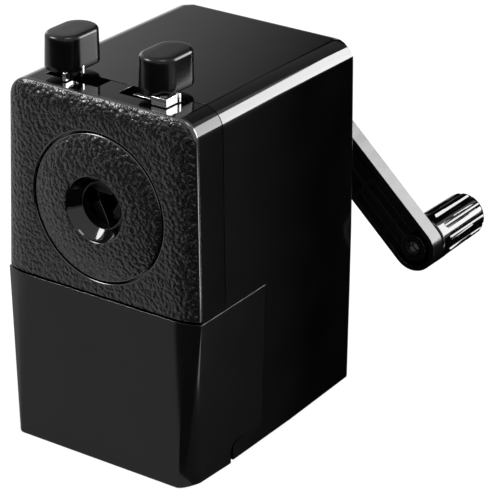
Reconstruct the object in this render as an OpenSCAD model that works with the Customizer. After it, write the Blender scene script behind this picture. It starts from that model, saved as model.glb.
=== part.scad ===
// Desk pencil sharpener: a rear crank turns a helical cutter round the pencil, a sprung front
// carriage with three jaws feeds the pencil in, and the shavings fall into a drawer.
// X runs to the right, Y to the back and Z up. Depths are measured from the flat front face.

/* [Body] */
// Width of the casing at its widest, level with the drawer's top edge
body_w = 70.7; // [69:0.1:74]
// Depth of the casing without the crank
body_d = 88.5; // [86:0.5:92]
// Height of the casing from its lower edge to its top
casing_h = 116; // [115:0.5:120]
// Height of the casing's lower edge above the table
foot_h = 1.8; // [1.6:0.1:2.4]
// How much each side comes in from the drawer's top edge to the top of the casing
top_taper = 1.8; // [0.5:0.1:2.5]
// Radius of the long rounded edges at the top
top_r = 6.5; // [4:0.5:8]
// Radius of the casing's rear edges
rear_r = 4; // [1:0.5:6]
// Wall thickness of the moulded shells
wall = 2.2; // [1.8:0.1:2.6]

/* [Carriage] */
// Depth behind the front face at which the carriage ends and the casing begins
carriage_d = 15.5; // [15.5:0.1:16.5]
// Depth of the textured front plate's rear face
plate_d = 3.2; // [3:0.1:3.4]
// How far the plate's face curves back at its edges
plate_crown = 2.8; // [1.5:0.1:2.9]
// Radius of the round port disc in the front plate
disc_r = 22.7; // [20:0.1:24]
// Radius of the port's mouth
mouth_r = 10; // [9:0.1:11]
// Radius of the port's inner tube
port_r = 6.8; // [6.5:0.1:7.5]
// Radius of the two steel guide rods
rod_r = 2; // [1.5:0.1:2.5]

/* [Finger levers] */
// Distance of each lever's tongue from the pencil's axis, sideways
tab_x = 16.6; // [16.2:0.1:17]
// Sideways shift of the plastic caps on their tongues
cap_shift = -3.3; // [-3.4:0.1:-2.4]
// Width of a cap at its foot
cap_w = 12.4; // [11.4:0.1:12.6]
// Length of a cap from front to back at its foot
cap_l = 18.9; // [16:0.1:20]
// Height of a cap
cap_h = 11; // [9:0.1:14]

/* [Drawer] */
// Height of the drawer from the casing's lower edge
drawer_h = 53.2; // [52:0.1:54]
// Depth to which the drawer's side panels reach
side_panel_d = 36.4; // [32:0.1:38]
// Height of the casing's sill under the side panels
sill_h = 6.1; // [5:0.1:8]
// How far the drawer's front reaches below the casing's lower edge
drawer_drop = 1.4; // [0:0.1:1.4]
// How far the drawer's front leans forward at its foot
front_lean = 1.2; // [0.5:0.1:2]

/* [Drive] */
// Height of the pencil's axis above the casing's lower edge
axis_h = 82; // [81.5:0.1:82.5]
// Distance from the pencil's axis to the knob's axis
crank_r = 60.7; // [56:0.1:64]
// Angle of the crank below the horizontal at rest
crank_angle = 42.6; // [0:0.1:90]
// Depth of the crank arm's front face
arm_d = 108.6; // [108:0.1:110]
// Thickness of the crank arm
arm_t = 5.8; // [5:0.1:7]
// Width of the crank arm
arm_w = 15.7; // [13:0.1:16]
// Length of the knob
knob_l = 28.9; // [26:0.1:34]
// Radius of the knob at its collar
knob_r = 7.9; // [7:0.1:9]
// Outer radius of the helical cutter
cutter_r = 7; // [6.5:0.1:7.2]

/* [Hidden] */
$fn = 48;

// Colours
shell_black = [0.045, 0.046, 0.05];
textured_black = [0.09, 0.09, 0.095];
rubber_black = [0.03, 0.03, 0.03];
bright_steel = [0.78, 0.79, 0.8];
dark_steel = [0.42, 0.43, 0.45];
cast_grey = [0.55, 0.56, 0.57];
brass_gold = [0.75, 0.6, 0.3];

// Gap between shells that slide past each other, and radial play of a shaft in its hole
gap = 0.3;
play = 0.05;
// How far one drawing runs into the next, so that they fuse
eps = 0.2;

// Heights above the table
top_z = foot_h + casing_h;
split_z = foot_h + drawer_h;
sill_z = foot_h + sill_h;
axis_z = foot_h + axis_h;
base_z = foot_h + 2;

// Casing
foot_taper = 0.2;
corner_r = 7;
rise_d = 52;
rear_rise = 1;
top_corner_z = top_z - top_r;
top_corner_x = side_x(top_corner_z, 0) - top_r;
screw_r = 1.25;
head_r = 2.2;
head_t = 1.6;
base_head_t = 0.9;
lug_x = 30.6;
lug_half = 1.8;
lug_h = 8;
lug_l = 6;
lug_depths = [42, 72];
pad_x = 26;
pad_d = [24, 80];
pad_corner = 4;
pad_sink = 0.6;

// Bulkhead behind the carriage
bulkhead_d = [17, 20];
bulkhead_low = split_z + 2.5;
post_l = 8;
post_half = 2.8;
post_inset = 3.4;
post_heights = [split_z + 8.8, top_z - 11];
ring_r = 13;
bearing_d = 25;
bearing_r = 16.5;

// Guide rods, one each side of the pencil's axis
rod_x = 26;
rod_z = axis_z - 9;
rod_end_d = 80;
bush_r = 3.4;
bush_flange_t = 2;
bush_flange_r = bush_r + 1;
spring_d = [bulkhead_d[1] + 2.1, 77.5];
spring_r = 3;
spring_wire = 0.45;
spring_turns = 16;

// Rear bearing housing
bell_r = 18.4;
bell_bore = 15.5;
bell_d = 57.2;
flange_r = 25;
flange_t = 2.5;
tower_d = 97.5;
tower_r = [16, 13];
bush_outer = 8.5;
rear_bush_d = 78;
rear_flange_d = 76.5;
shaft_r = 6;
housing_screw_r = flange_r - 3.4;

// Front plate and port disc
crown_w = 9;
groove = 1;
disc_proud = 1.9;
rim_r = 26;
rim_t = 1.6;

// Jaws and levers
jaw_d = [5.2, 8.2];
lever_t = 1;
lever_d = [8.8, 10.1];
hub_outer = 7.15;
hub_bore = 6.3;
jaw_plate_d = [13, 14.6];
plate_screw_at = [[28.5, split_z + 7], [28, top_z - 13]];
lever_ring = 11.8;
lever_angle = 27;
lever_w = 4.4;
spring_seat = 21;
pinch_spring_r = 1.7;
pinch_wire = 0.35;
pinch_turns = 6;
spring_l = 2 * (spring_seat * tan(lever_angle) - lever_w / 2 - 1.4);
pin_pcd_r = 13.6;
pin_r = 1.3;
slot_shift = -2.25;
slot_in = 3.75;
slot_out = 23;
slot_d = 8.3;
stop_x = [3.4, 13.5];
cap_z = top_z + 2.4;
cap_edge = 1.3;
cap_draft = 0.25;
cap_d = 5.8;
tongue_w = 7.4;
tongue_low = axis_z + 24;
neck_top = cap_z + 6;
axis_to_tongue = 34;
neck_right = [15.2, 18.4];
neck_left = [15.6, 16.8];
// Folded parts of each lever under its cap: spans of x and of depth
folds_right = [
    [[neck_right[0], 20.5], [lever_d[1], lever_d[1] + lever_t]],
    [[neck_right[0], 20.5], [6, 7]],
    [[19.5, 20.5], [6, 12.4]],
    [[19.5, 20.9], [11.8, 12.7]]
];
fold_left = [neck_left, [5.9, 12.1]];
hook_left = [[13.7, 14.5], [11.6, 12.4]];
hook_z = [cap_z + 0.2, cap_z + 1.4];

// Drawer
drawer_low = foot_h - drawer_drop;
toe_r = 0.3;
front_crown = [9.3, 2.3];
foot_crown = [4.2, 5 + front_lean];
front_half = body_w / 2 + 0.5;
foot_half = body_w / 2 - 1.5;
heel_d = 20.3;
heel_r = 3;
tray_x = 28.3;
tray_d = 79;
tray_low = base_z + 0.5;
tray_top = split_z - 3.5;
tray_side = side_x(base_z, wall) - 0.5;

// Cutter: its axis leans by cutter_lean and its edge lies along the pencil's cone
cutter_lean = atan(0.2);
tip_d = 54;
cutter_d = [31, 55.6];
cutter_flutes = 12;
axle_r = 1.6;
gear_d = 59.6;
gear_face = 3;
pinion_teeth = 10;
ring_teeth = 22;
gear_h = cutter_h(gear_d);
gear_module = 2 * gear_h / (ring_teeth - pinion_teeth);

// Cutter's cage
cage_d = 18;
cage_bore = 5.4;
cage_flange_r = 17.5;
cage_flange_d = 29.2;
cradle_x = 4;
cradle_z = [axis_z - 8.6, axis_z - 4.6];
cage_disc_d = [63, 67.2];
cage_disc_r = 13;
cage_neck_r = 9.5;
cage_end_d = 76;
axle_d = 26;
axle_l = 41;

// Crank
arm_wall = 1.5;
arm_floor = 1.6;
arm_rib = 1.2;
rib_start = 10;
rib_pitch = 15.2;
boss_r = 4.5;
knob_pin_r = 2.2;
knob_pin_head_r = 3.4;
knob_end_t = 3.2;
hub_r = 10.5;
hub_d = tower_d + 1;
arm_back_d = arm_d + arm_t;
hub_floor_d = arm_back_d - 2.3;
spigot_r = 5;
nose_r = 4;
nose_d = 68;
crank_screw_r = 1.6;
crank_head_r = 3.8;
knob_d = arm_back_d + 0.9;
knob_tip_r = knob_r - 0.4;
knob_edge = 2.5;
collar_l = 3.5;
flute_start = 5.5;
knob_flutes = 12;
flute_r = 1.1;

// ---- shared helpers ----

// Half the body's width at height z, inset by g
function side_x(z, g) = body_w / 2 - g
    - (z > split_z ? (z - split_z) * top_taper / (top_z - split_z)
                   : (split_z - z) * foot_taper / drawer_h);

// Points along an arc from angle a0 to a1
function arc(cx, cy, rx, ry, a0, a1, n = 8) =
    [for (i = [0:n]) let (a = a0 + (a1 - a0) * i / n) [cx + rx * cos(a), cy + ry * sin(a)]];

// A right-hand outline and its mirror image as one closed outline
function both(p) = concat(p, [for (i = [len(p) - 1:-1:0]) [-p[i][0], p[i][1]]]);

// Section of the body from height low to its top, inset by g
function body_section(low, g) = both(concat(
    [[side_x(low, g), low]],
    low < split_z ? [[side_x(split_z, g), split_z]] : [],
    arc(top_corner_x, top_corner_z, top_r - g, top_r - g, 0, 90)));

// Distance of the cutter's axis from the pencil's axis at depth d
function cutter_h(d) = cutter_r / cos(cutter_lean) + (tip_d - d) * tan(cutter_lean);

// Runs a drawing of X and Z from depth ds[0] to ds[1]
module along(ds) {
    translate([0, ds[1] - body_d / 2, 0])
        rotate([90, 0, 0])
            linear_extrude(ds[1] - ds[0])
                children();
}

// Runs a drawing of depth and Z from x0 to x1
module across(x0, x1) {
    translate([x0, -body_d / 2, 0])
        rotate([90, 0, 90])
            linear_extrude(x1 - x0)
                children();
}

// Stands a part at (x, z) with its local Z running back from depth d
module on_axis(d, x = 0, z = axis_z) {
    translate([x, d - body_d / 2, z])
        rotate([-90, 0, 0])
            children();
}

// A cylinder running back from depth ds[0] to ds[1] at (x, z)
module bar(ds, r, x = 0, z = axis_z) {
    on_axis(ds[0], x, z)
        cylinder(h = ds[1] - ds[0], r = r);
}

// A box given by its x, depth and z spans
module block(xs, ds, zs) {
    translate([xs[0], ds[0] - body_d / 2, zs[0]])
        cube([xs[1] - xs[0], ds[1] - ds[0], zs[1] - zs[0]]);
}

// A child and its mirror image in X
module both_sides() {
    children();
    mirror([1, 0, 0])
        children();
}

// A child at each of the n places round the pencil's axis, the first at angle a0 above X
module around(n, r, a0 = 0) {
    for (i = [0:n - 1])
        translate([r * cos(a0 + i * 360 / n), 0, r * sin(a0 + i * 360 / n)])
            children();
}

// A machine screw: its head's flat underside is at depth d and its thread runs back
module screw_back(d, x, z, l) {
    bar([d - head_t, d], head_r, x, z);
    bar([d - eps, d + l], screw_r, x, z);
}

// A helical spring of n turns along local Z, as rings of a swept hexagon
module spring(r, wire, h, n, steps = 10) {
    count = n * steps;
    ring = [for (i = [0:count], k = [0:5])
        let (a = 360 * i / steps, b = 60 * k, s = r + wire * cos(b))
            [s * cos(a), s * sin(a), wire + (h - 2 * wire) * i / count + wire * sin(b)]];
    side = [for (i = [0:count - 1], k = [0:5], half = [0, 1])
        let (a = 6 * i + k, b = 6 * i + (k + 1) % 6)
            half == 0 ? [a, b, b + 6] : [a, b + 6, a + 6]];
    ends = [[5, 4, 3, 2, 1, 0], [for (k = [0:5]) 6 * count + k]];
    polyhedron(points = ring, faces = concat(ends, side), convexity = 10);
}

// ---- casing and what is fixed in it ----

// Outline of the drawer's side panel in depth and Z, grown by g at its rear and top
function panel_outline(front_d, g) = concat(
    [[front_d, foot_h - 10 * g], [heel_d + g, foot_h - 10 * g]],
    arc(heel_d + heel_r, sill_z - heel_r, heel_r - g, heel_r - g, 180, 90, 6),
    arc(side_panel_d - heel_r, sill_z + heel_r, heel_r + g, heel_r + g, -90, 0, 6),
    [[side_panel_d + g, split_z + g], [front_d, split_z + g]]);

module casing() {
    color(shell_black)
        difference() {
            union() {
                casing_skin();
                casing_lugs();
            }
            bar([body_d - wall - 1, body_d + 1], bell_r);
            around(4, housing_screw_r, 45)
                bar([body_d - wall - 1, body_d + 1], screw_r);
            for (d = lug_depths)
                both_sides()
                    translate([lug_x, d + lug_l / 2 - body_d / 2, base_z - 1])
                        cylinder(h = lug_h, r = screw_r);
            both_sides()
                for (z = post_heights)
                    bar([bulkhead_d[1] - 1, bulkhead_d[1] + post_l - 2], screw_r, post_x(z), z);
        }
}

// Distance of the bulkhead's screws from the middle at height z
function post_x(z) = side_x(z, wall) - post_inset;

module casing_skin() {
    difference() {
        intersection() {
            along([carriage_d, body_d])
                polygon(body_section(foot_h, 0));
            casing_from_above();
            casing_from_side();
            both_tapers();
            both_rear_corners();
        }
        along([carriage_d - 1, body_d - wall])
            polygon(body_section(foot_h - 1, wall));
        across(-body_w, body_w)
            polygon(panel_outline(carriage_d - 2, gap));
    }
}

// The casing seen from above, with its rear corners rounded
module casing_from_above() {
    translate([0, -body_d / 2, 0])
        linear_extrude(top_z + 1)
            polygon(both(rounded_side(body_w / 2, rear_r)));
}

// Above the drawer the rounded corners lean in with the sides
module both_tapers() {
    intersection_for (s = [-1, 1])
        translate([s * body_w / 2, -body_d / 2, split_z])
            rotate([0, -s * atan(top_taper / (top_z - split_z)), 0])
                translate([0, 0, -body_w])
                    linear_extrude(3 * body_w)
                        scale([s, 1])
                            polygon(concat(rounded_side(0, rear_r),
                                           [[-2 * body_w, body_d], [-2 * body_w, 0]]));
}

// The two top rear corners are rounded off diagonally too
module both_rear_corners() {
    corner = [top_corner_x + top_r - rear_r, body_d / 2 - rear_r];
    reach = (corner[0] + corner[1]) / sqrt(2) + rear_r;
    intersection_for (s = [-1, 1])
        rotate([90, 0, s * 45])
            translate([0, 0, -body_d])
                linear_extrude(2 * body_d)
                    polygon(concat(
                        [[-s * 2 * body_d, 0], [s * (reach + 1), 0]],
                        [for (p = arc(reach, top_z, corner_r, corner_r, 0, 90, 6))
                            [s * (p[0] - corner_r), p[1] - corner_r]],
                        [[-s * 2 * body_d, top_z + 1]]));
}

// A side wall at x with its rear corner
function rounded_side(x, r) = concat([[x, 0]], arc(x - r, body_d - r, r, r, 0, 90, 5));

// The casing seen from the side: its top rear edge is rounded and its lower edge rises at the rear
module casing_from_side() {
    across(-body_w, body_w)
        polygon(concat(
            [[0, 0], [rise_d, foot_h], [body_d, foot_h + rear_rise]],
            arc(body_d - rear_r, top_z - rear_r, rear_r, rear_r, 0, 90, 5),
            [[0, top_z]]));
}

// Lugs for the base plate's screws and posts for the bulkhead's screws
module casing_lugs() {
    both_sides() {
        for (d = lug_depths)
            block([lug_x - lug_half, side_x(base_z, wall) + eps], [d, d + lug_l],
                  [base_z, base_z + lug_h]);
        for (z = post_heights)
            block([post_x(z) - post_half, side_x(z, wall) + 0.8],
                  [bulkhead_d[1], bulkhead_d[1] + post_l], [z - post_half, z + post_half]);
    }
}

module base_plate() {
    color(shell_black)
        difference() {
            block([-side_x(base_z, wall) + play, side_x(base_z, wall) - play],
                  [heel_d + gap, body_d - wall], [foot_h, base_z]);
            rubber_block();
            at_lugs()
                cylinder(h = base_z + 1, r = screw_r);
            at_lugs()
                cylinder(h = foot_h + base_head_t, r = head_r);
        }
}

module at_lugs() {
    both_sides()
        for (d = lug_depths)
            translate([lug_x, d + lug_l / 2 - body_d / 2, 0])
                children();
}

module base_screws() {
    color(dark_steel)
        at_lugs() {
            translate([0, 0, foot_h])
                cylinder(h = base_head_t, r = head_r);
            translate([0, 0, foot_h + base_head_t / 2])
                cylinder(h = lug_h - 1.5, r = screw_r);
        }
}

// The pad that the sharpener stands on, let into the base plate
module rubber_pad() {
    color(rubber_black)
        rubber_block();
}

module rubber_block() {
    r = pad_corner;
    translate([0, -body_d / 2, 0])
        linear_extrude(foot_h + pad_sink)
            polygon(both(concat(arc(pad_x - r, pad_d[0] + r, r, r, -90, 0, 6),
                                arc(pad_x - r, pad_d[1] - r, r, r, 0, 90, 6))));
}

module bulkhead() {
    color(shell_black)
        difference() {
            union() {
                along(bulkhead_d)
                    polygon(body_section(bulkhead_low, wall + 0.2));
                bar([bulkhead_d[1] - eps, bearing_d], bearing_r);
            }
            bar([bulkhead_d[0] - 1, bearing_d + 1], ring_r + play);
            both_sides()
                bar([bulkhead_d[0] - 1, bulkhead_d[1] + 1], bush_r, rod_x, rod_z);
            both_sides()
                for (z = post_heights)
                    bar([bulkhead_d[0] - 1, bulkhead_d[1] + 1], screw_r, post_x(z), z);
        }
}

module bulkhead_screws() {
    color(dark_steel)
        both_sides()
            for (z = post_heights)
                screw_back(bulkhead_d[0], post_x(z), z, post_l);
}

// Flanged bushes in the bulkhead that the guide rods slide in
module rod_bushes() {
    color(brass_gold)
        both_sides()
            difference() {
                union() {
                    bar([bulkhead_d[0], bulkhead_d[1] + 1], bush_r, rod_x, rod_z);
                    bar([bulkhead_d[1], bulkhead_d[1] + bush_flange_t], bush_flange_r, rod_x, rod_z);
                }
                bar([bulkhead_d[0] - 1, bulkhead_d[1] + bush_flange_t + 1], rod_r + play, rod_x, rod_z);
            }
}

// Rear housing: a bell inside the casing that holds the ring gear, and a tower outside
module bearing_housing() {
    color(shell_black)
        difference() {
            union() {
                bar([bell_d, body_d + 1], bell_r);
                bar([body_d, body_d + flange_t], flange_r);
                on_axis(body_d + 1)
                    cylinder(h = tower_d - body_d - 1, r1 = tower_r[0], r2 = tower_r[1]);
            }
            bar([bell_d - 1, rear_bush_d], bell_bore);
            bar([rear_bush_d - 1, tower_d + 1], bush_outer);
            around(4, housing_screw_r, 45)
                bar([body_d - 1, body_d + flange_t + 1], screw_r);
        }
}

module housing_screws() {
    color(dark_steel)
        around(4, housing_screw_r, 45) {
            bar([body_d + flange_t, body_d + flange_t + head_t], head_r);
            bar([body_d - wall - 2, body_d + flange_t + eps], screw_r);
        }
}

module rear_bush() {
    color(brass_gold)
        difference() {
            union() {
                bar([rear_bush_d, tower_d], bush_outer);
                bar([rear_flange_d, rear_bush_d], bush_outer + 2);
            }
            bar([rear_flange_d - 1, tower_d + 1], shaft_r + play);
        }
}

// Fixed internal gear: its teeth point inwards, with a gap at the top
module ring_gear() {
    pitch_r = ring_teeth * gear_module / 2;
    color(dark_steel)
        along([gear_d - 0.6, gear_d + 2.8])
            translate([0, axis_z]) {
                difference() {
                    circle(r = bell_bore);
                    circle(r = pitch_r + 1.25);
                }
                for (i = [0:ring_teeth - 1])
                    rotate(90 + (i + 0.5) * 360 / ring_teeth)
                        polygon([[pitch_r - 0.8, -0.3], [pitch_r + 1.5, -0.95],
                                 [pitch_r + 1.5, 0.95], [pitch_r - 0.8, 0.3]]);
            }
}

// ---- carriage ----

module carriage_shell() {
    color(shell_black)
        difference() {
            union() {
                difference() {
                    along([plate_d, carriage_d - gap])
                        polygon(body_section(split_z + gap, 0));
                    along([plate_d - 1, carriage_d])
                        polygon(body_section(split_z + gap + wall, wall));
                }
                for (p = plate_screw_at)
                    both_sides()
                        block([p[0] - post_half, side_x(p[1], wall) + 0.8],
                              [plate_d, jaw_plate_d[0]], [p[1] - post_half, p[1] + post_half]);
            }
            both_slots();
            at_plate_screws()
                bar([jaw_plate_d[0] - 7, carriage_d], screw_r);
        }
}

// The two openings in the carriage's top that the levers swing in
module both_slots() {
    translate([slot_shift, 0, 0])
        both_sides()
            block([slot_in, slot_out], [slot_d, carriage_d], [top_z - wall - 1, top_z + 1]);
}

// Textured front plate: its edges curve back by plate_crown over the last few millimetres
module front_plate() {
    color(textured_black)
        difference() {
            hull()
                for (i = [0:4])
                    plate_layer(i);
            bar([-3, plate_d + 1], disc_r + groove);
            on_axis(-0.4)
                cylinder(h = 1.1, r1 = disc_r + groove + 1.1, r2 = disc_r + groove);
        }
}

// Layer i of the plate: the outline shrinks as the layer comes forward, on a quarter ellipse
module plate_layer(i) {
    a = 90 * i / 4;
    inset = crown_w * (1 - cos(a));
    along([plate_crown * (1 - sin(a)), plate_d])
        polygon(both(concat(
            [[side_x(split_z, inset), split_z + gap]],
            arc(top_corner_x - inset, top_corner_z - inset / 3, top_r, top_r, 0, 90, 6))));
}

// Domed disc with the pencil's port, held behind the plate by its rim
module port_disc() {
    dome = [for (i = [0:6]) let (r = disc_r - 0.5 + (mouth_r + 0.9 - disc_r) * i / 6)
        [r, -disc_proud * (1 - pow((r - mouth_r) / (disc_r - mouth_r), 2))]];
    color(textured_black)
        on_axis(0)
            rotate_extrude($fn = 96)
                polygon(concat(
                    [[rim_r, plate_d], [disc_r, plate_d], [disc_r, 0.7]],
                    dome,
                    [[mouth_r, 0.5 - disc_proud], [port_r, 2], [port_r, plate_d + rim_t],
                     [rim_r, plate_d + rim_t]]));
}

// Steel plate across the carriage's back, with the tube that the levers turn on
module jaw_plate() {
    color(bright_steel)
        difference() {
            union() {
                along(jaw_plate_d)
                    jaw_plate_outline();
                block(stop_x, jaw_plate_d, [top_z - 7, top_z - 1.5]);
                bar([lever_d[0] - 0.2, jaw_plate_d[0] + eps], hub_outer);
            }
            bar([lever_d[0] - 1, jaw_plate_d[1] + 1], hub_bore);
            both_sides()
                bar([jaw_plate_d[0] - 1, jaw_plate_d[1] + 1], rod_r, rod_x, rod_z);
            around(3, pin_pcd_r, 30)
                bar([jaw_plate_d[0] - 1, jaw_plate_d[1] + 1], pin_r);
            at_plate_screws()
                bar([jaw_plate_d[0] - 1, jaw_plate_d[1] + 1], screw_r);
        }
}

module jaw_plate_outline() {
    difference() {
        polygon(body_section(split_z + gap + wall + 0.4, wall + 0.3));
        translate([0, top_z - 2])
            square([body_w, 8], center = true);
    }
}

// The screws' places near the plate's corners
module at_plate_screws() {
    for (p = plate_screw_at)
        both_sides()
            translate([p[0], 0, p[1] - axis_z])
                children();
}

module plate_screws() {
    color(dark_steel)
        at_plate_screws() {
            bar([jaw_plate_d[1], jaw_plate_d[1] + 0.6], head_r);
            bar([jaw_plate_d[0] - 6, jaw_plate_d[1] + eps], screw_r);
        }
}

module guide_rods() {
    color(bright_steel)
        both_sides()
            bar([jaw_plate_d[0], rod_end_d], rod_r, rod_x, rod_z);
}

module rod_clips() {
    color(dark_steel)
        both_sides()
            difference() {
                bar([spring_d[1] + 0.1, rod_end_d - 0.8], spring_r + 0.8, rod_x, rod_z);
                bar([spring_d[1] - 1, rod_end_d + 1], rod_r, rod_x, rod_z);
            }
}

// Coil springs round the rods that pull the carriage back in
module return_springs() {
    color(bright_steel)
        both_sides()
            on_axis(spring_d[0], rod_x, rod_z)
                spring(spring_r, spring_wire, spring_d[1] - spring_d[0], spring_turns);
}

module jaw_pins() {
    color(bright_steel)
        around(3, pin_pcd_r, 30)
            bar([jaw_d[0] - 0.3, jaw_plate_d[1]], pin_r);
}

// Coil spring between the two levers' arms that pushes them apart
module lever_spring() {
    color(bright_steel)
        translate([-spring_l / 2, lever_d[1] - body_d / 2, axis_z + spring_seat])
            rotate([0, 90, 0])
                spring(pinch_spring_r, pinch_wire, spring_l, pinch_turns);
}

// One lever, drawn for the right side: a ring on the tube, an arm, and a tongue up into its cap
module lever(d, neck) {
    ds = [d, d + lever_t];
    difference() {
        union() {
            along(ds)
                translate([0, axis_z]) {
                    circle(r = lever_ring);
                    rotate(90 - lever_angle)
                        translate([0, -lever_w / 2])
                            square([axis_to_tongue - 3, lever_w]);
                }
            block([tab_x - tongue_w / 2, tab_x + tongue_w / 2], ds, [tongue_low, top_z - 3]);
            block(neck, ds, [top_z - 3 - eps, neck_top]);
        }
        bar([d - 1, d + 2], hub_outer + play);
    }
}

// A folded part of a lever, between the carriage's top and the cap
module fold(xs, ds, zs = [top_z + gap, cap_z + 0.4]) {
    block(xs, ds, zs);
}

// Its tongue is folded to a front and a side flange
module lever_right() {
    color(bright_steel) {
        lever(lever_d[1], neck_right);
        for (f = folds_right)
            fold(f[0], f[1]);
    }
}

// Its tongue is folded to a flange along the inner side
module lever_left() {
    color(bright_steel)
        mirror([1, 0, 0]) {
            lever(lever_d[0], neck_left);
            fold(fold_left[0], fold_left[1]);
            fold(hook_left[0], hook_left[1], [top_z + gap, hook_z[1]]);
            fold([hook_left[0][0], neck_left[1]], hook_left[1], hook_z);
        }
}

// Plastic cap with rounded ends and a rounded top edge, centred at x; its tongue pushes in
module cap(x, d) {
    color(shell_black)
        difference() {
            hull()
                for (i = [0:4])
                    translate([x, d + cap_d - body_d / 2, cap_z])
                        cap_layer(i);
            children();
        }
}

// Layer i of a cap: its foot, or a step of its rounded top edge
module cap_layer(i) {
    a = 30 * (i - 1);
    inset = i == 0 ? 0 : cap_draft + cap_edge * (1 - cos(a));
    linear_extrude(i == 0 ? 0.2 : cap_h - cap_edge * (1 - sin(a)))
        stadium(cap_w - 2 * inset, cap_l - 2 * inset);
}

module stadium(w, l) {
    translate([-w / 2, (w - l) / 2])
        square([w, l - w]);
    for (s = [-1, 1])
        translate([0, s * (l - w) / 2])
            circle(r = w / 2, $fn = 32);
}

module cap_left() {
    cap(cap_shift - tab_x, lever_d[0])
        lever_left();
}

module cap_right() {
    cap(cap_shift + tab_x, lever_d[1])
        lever_right();
}

// One jaw: a finger from its pin, at angle a, to a pad that grips the pencil
module jaw(a) {
    color(dark_steel)
        along(jaw_d)
            translate([0, axis_z])
                rotate(a)
                    difference() {
                        union() {
                            translate([pin_pcd_r, 0])
                                circle(r = 3);
                            polygon([[0, -3.18], [1.74, -6.21], [4.51, -4.61], [13, -2.9],
                                     [12.6, 2.8], [2.76, -1.58]]);
                        }
                        translate([pin_pcd_r, 0])
                            circle(r = pin_r + play);
                    }
}

module jaw_right() {
    jaw(30);
}

module jaw_top() {
    jaw(150);
}

module jaw_left() {
    jaw(270);
}

// ---- drawer ----

module drawer() {
    color(shell_black)
        difference() {
            union() {
                drawer_front();
                block([-tray_x, tray_x], [side_panel_d - 2, tray_d], [tray_low, tray_top]);
            }
            drawer_hollows();
        }
}

// The part that shows: its front leans and curves back towards the sides
module drawer_front() {
    difference() {
        hull() {
            for (i = [0:2])
                toe_slice(i);
            drawer_slice(split_z - 0.2, front_half, 0, front_crown);
        }
        difference() {
            block([-body_w, body_w], [heel_d, side_panel_d + 1], [drawer_low - 1, split_z - 10]);
            across(-body_w, body_w)
                polygon(panel_outline(heel_d - 5, 0));
            block([-tray_side, tray_side], [0, side_panel_d + 2], [tray_low, split_z]);
        }
    }
}

// Slice i of the foot's rounded edge, on a quarter circle
module toe_slice(i) {
    a = 90 * i / 2;
    drawer_slice(drawer_low + toe_r * (1 - cos(a)), foot_half - toe_r * (1 - sin(a)),
                 -front_lean, foot_crown);
}

// A thin level slice at height z, flush with the casing at its rear: its front, half as wide as
// half, curves back towards the sides over crown[0], by crown[1]
module drawer_slice(z, half, front, crown) {
    translate([0, -body_d / 2, z])
        linear_extrude(0.2)
            polygon(both(concat(
                [[side_x(z, 0), side_panel_d]],
                [for (i = [6:-1:0])
                    [half - crown[0] * (1 - i / 6), front + crown[1] * pow(i / 6, 2)]])));
}

// The hollow inside the drawer, open at the top, and the one under its front
module drawer_hollows() {
    floor_z = tray_low + 1.8;
    inner_x = side_x(split_z, wall);
    front_hollow(inner_x - 2, sill_z + 2);
    front_hollow(tray_side - 2, floor_z);
    block([-inner_x, inner_x], [5.5, side_panel_d - wall], [sill_z + 2, split_z + 1]);
    block([2 - tray_x, tray_x - 2], [side_panel_d - wall - 1, tray_d - 2], [floor_z, top_z]);
    block([2 - tray_side, tray_side - 2], [1, heel_d - 2],
          [drawer_low - 1, tray_low - eps]);
}

// The hollow behind the front: its front wall leans with the face outside
module front_hollow(half, low) {
    across(-half, half)
        polygon([[wall - front_lean * (split_z - low) / drawer_h, low],
                 [side_panel_d - wall, low], [side_panel_d - wall, split_z + 1],
                 [wall, split_z + 1]]);
}

// ---- crank ----

// The crank's own frame: X along the arm, the pencil's axis at the origin
module crank_frame() {
    translate([0, 0, axis_z])
        rotate([0, crank_angle, 0])
            children();
}

module crank_arm() {
    color(shell_black)
        crank_frame()
            difference() {
                union() {
                    along([arm_d, arm_back_d])
                        arm_outline(arm_w / 2);
                    bar([hub_d, arm_back_d], hub_r, 0, 0);
                }
                along([arm_d - 1, arm_back_d - arm_floor])
                    arm_pockets();
                along([hub_d - 1, hub_floor_d])
                    d_section();
                bar([hub_floor_d - 1, arm_back_d + 1], crank_screw_r, 0, 0);
                bar([arm_d - 1, arm_back_d + 1], knob_pin_r, crank_r, 0);
            }
}

module arm_outline(half) {
    translate([0, -half])
        square([crank_r, 2 * half]);
    translate([crank_r, 0])
        circle(r = half);
}

// The hollows between the arm's ribs
module arm_pockets() {
    half = arm_w / 2 - arm_wall;
    difference() {
        arm_outline(half);
        circle(r = hub_r + 1);
        translate([0, -arm_rib / 2])
            square([crank_r, arm_rib]);
        for (i = [0:2])
            translate([crank_r - rib_start - arm_rib / 2 - i * rib_pitch, -half])
                square([arm_rib, 2 * half]);
        translate([crank_r, 0])
            circle(r = boss_r);
    }
}

// The round end of the shaft with one flat
module d_section() {
    difference() {
        circle(r = spigot_r);
        translate([spigot_r - 1, -spigot_r])
            square([2, 2 * spigot_r]);
    }
}

module crank_shaft() {
    color(bright_steel)
        crank_frame()
            difference() {
                union() {
                    bar([nose_d, cage_end_d + 1], nose_r, 0, 0);
                    bar([cage_end_d + eps, hub_d - 0.1], shaft_r, 0, 0);
                    along([hub_d - 1, hub_floor_d - eps])
                        d_section();
                }
                bar([hub_d + 2, arm_back_d], crank_screw_r, 0, 0);
            }
}

module crank_screw() {
    color(dark_steel)
        crank_frame() {
            bar([arm_back_d, arm_back_d + 2.2], crank_head_r, 0, 0);
            bar([hub_d + 4, arm_back_d + eps], crank_screw_r, 0, 0);
        }
}

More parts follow.
